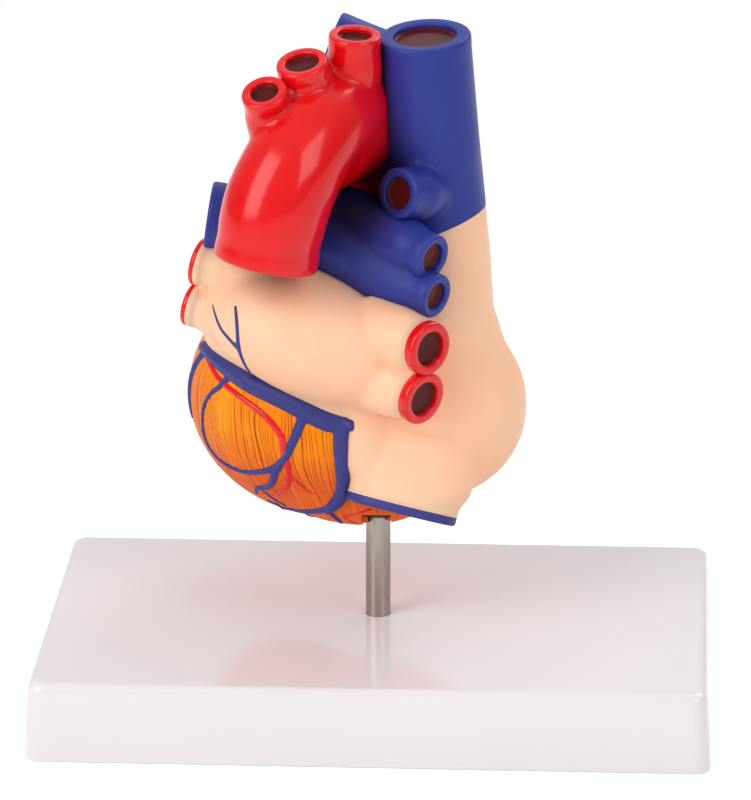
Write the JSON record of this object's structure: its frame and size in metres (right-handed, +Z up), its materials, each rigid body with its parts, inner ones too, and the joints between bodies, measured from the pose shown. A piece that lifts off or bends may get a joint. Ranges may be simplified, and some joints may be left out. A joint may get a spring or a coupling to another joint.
{
  "type": "anatomical heart model",
  "caption": "Two-part human heart teaching model with cut great vessels, on a steel rod and a flat moulded base; the front wall pulls off to show the chambers.",
  "frame": {"origin": "middle of the base's underside, on the axis of the rod", "axes": "+Z up along the rod, +X towards the heart's right side (right as seen from its back), +Y towards the heart's front"},
  "size_m": [0.162, 0.112, 0.1655],
  "materials": {
    "white_plastic": "gloss",
    "white_cover": "satin",
    "rod_steel": "brushed",
    "hardware_steel": "satin",
    "socket_plastic": "matt",
    "artery_red": "gloss",
    "vein_blue": "satin",
    "cardiac_vein_blue": "satin",
    "flesh_vinyl": "satin",
    "muscle_orange": "satin",
    "dark_red_gloss": "gloss",
    "valve_cream": "satin"
  },
  "bodies": {
    "stand": {"base_shell": "white_plastic", "base_plate": "white_cover", "plate_screws": "hardware_steel"},
    "rod": {"support_rod": "rod_steel", "rod_washer": "hardware_steel", "rod_screw": "hardware_steel"},
    "heart": {"aorta": "artery_red", "azygos_vein": "vein_blue", "coronary_sinus": "cardiac_vein_blue", "inferior_vena_cava": "flesh_vinyl", "innominate_artery": "artery_red", "left_atrium": "flesh_vinyl", "left_auricle": "flesh_vinyl", "left_brachiocephalic_vein": "vein_blue", "left_carotid_artery": "artery_red", "left_pulmonary_artery": "vein_blue", "left_pulmonary_veins": "flesh_vinyl", "left_subclavian_artery": "artery_red", "locating_pins": "hardware_steel", "magnets_back": "hardware_steel", "middle_cardiac_vein": "cardiac_vein_blue", "mitral_valve": "valve_cream", "papillary_muscles": "muscle_orange", "posterior_artery": "artery_red", "posterior_ventricular_vein": "cardiac_vein_blue", "pulmonary_trunk": "vein_blue", "right_atrium": "flesh_vinyl", "right_auricle": "flesh_vinyl", "right_pulmonary_artery": "vein_blue", "right_pulmonary_veins": "flesh_vinyl", "rod_socket": "socket_plastic", "superior_vena_cava": "vein_blue", "tendinous_cords": "valve_cream", "tricuspid_valve": "valve_cream", "ventricles_back": "muscle_orange", "vessel_plugs": "dark_red_gloss"},
    "front_wall": {"ventricles_front": "muscle_orange", "magnets_front": "hardware_steel", "front_descending_artery": "artery_red", "right_coronary_artery": "artery_red", "great_cardiac_vein": "cardiac_vein_blue"}
  },
  "joints": [
    {"name": "rod_turn", "type": "hinge", "parent": "stand", "child": "rod", "pos_m": [0, 0, 0.019], "axis": [0, 0, 1], "continuous": true},
    {"name": "heart_lift", "type": "slide", "parent": "rod", "child": "heart", "axis": [0, 0, 1], "range_m": [0, 0.03]},
    {"name": "front_wall_pull", "type": "slide", "parent": "heart", "child": "front_wall", "axis": [0, 1, 0], "range_m": [0, 0.07]}
  ]
}
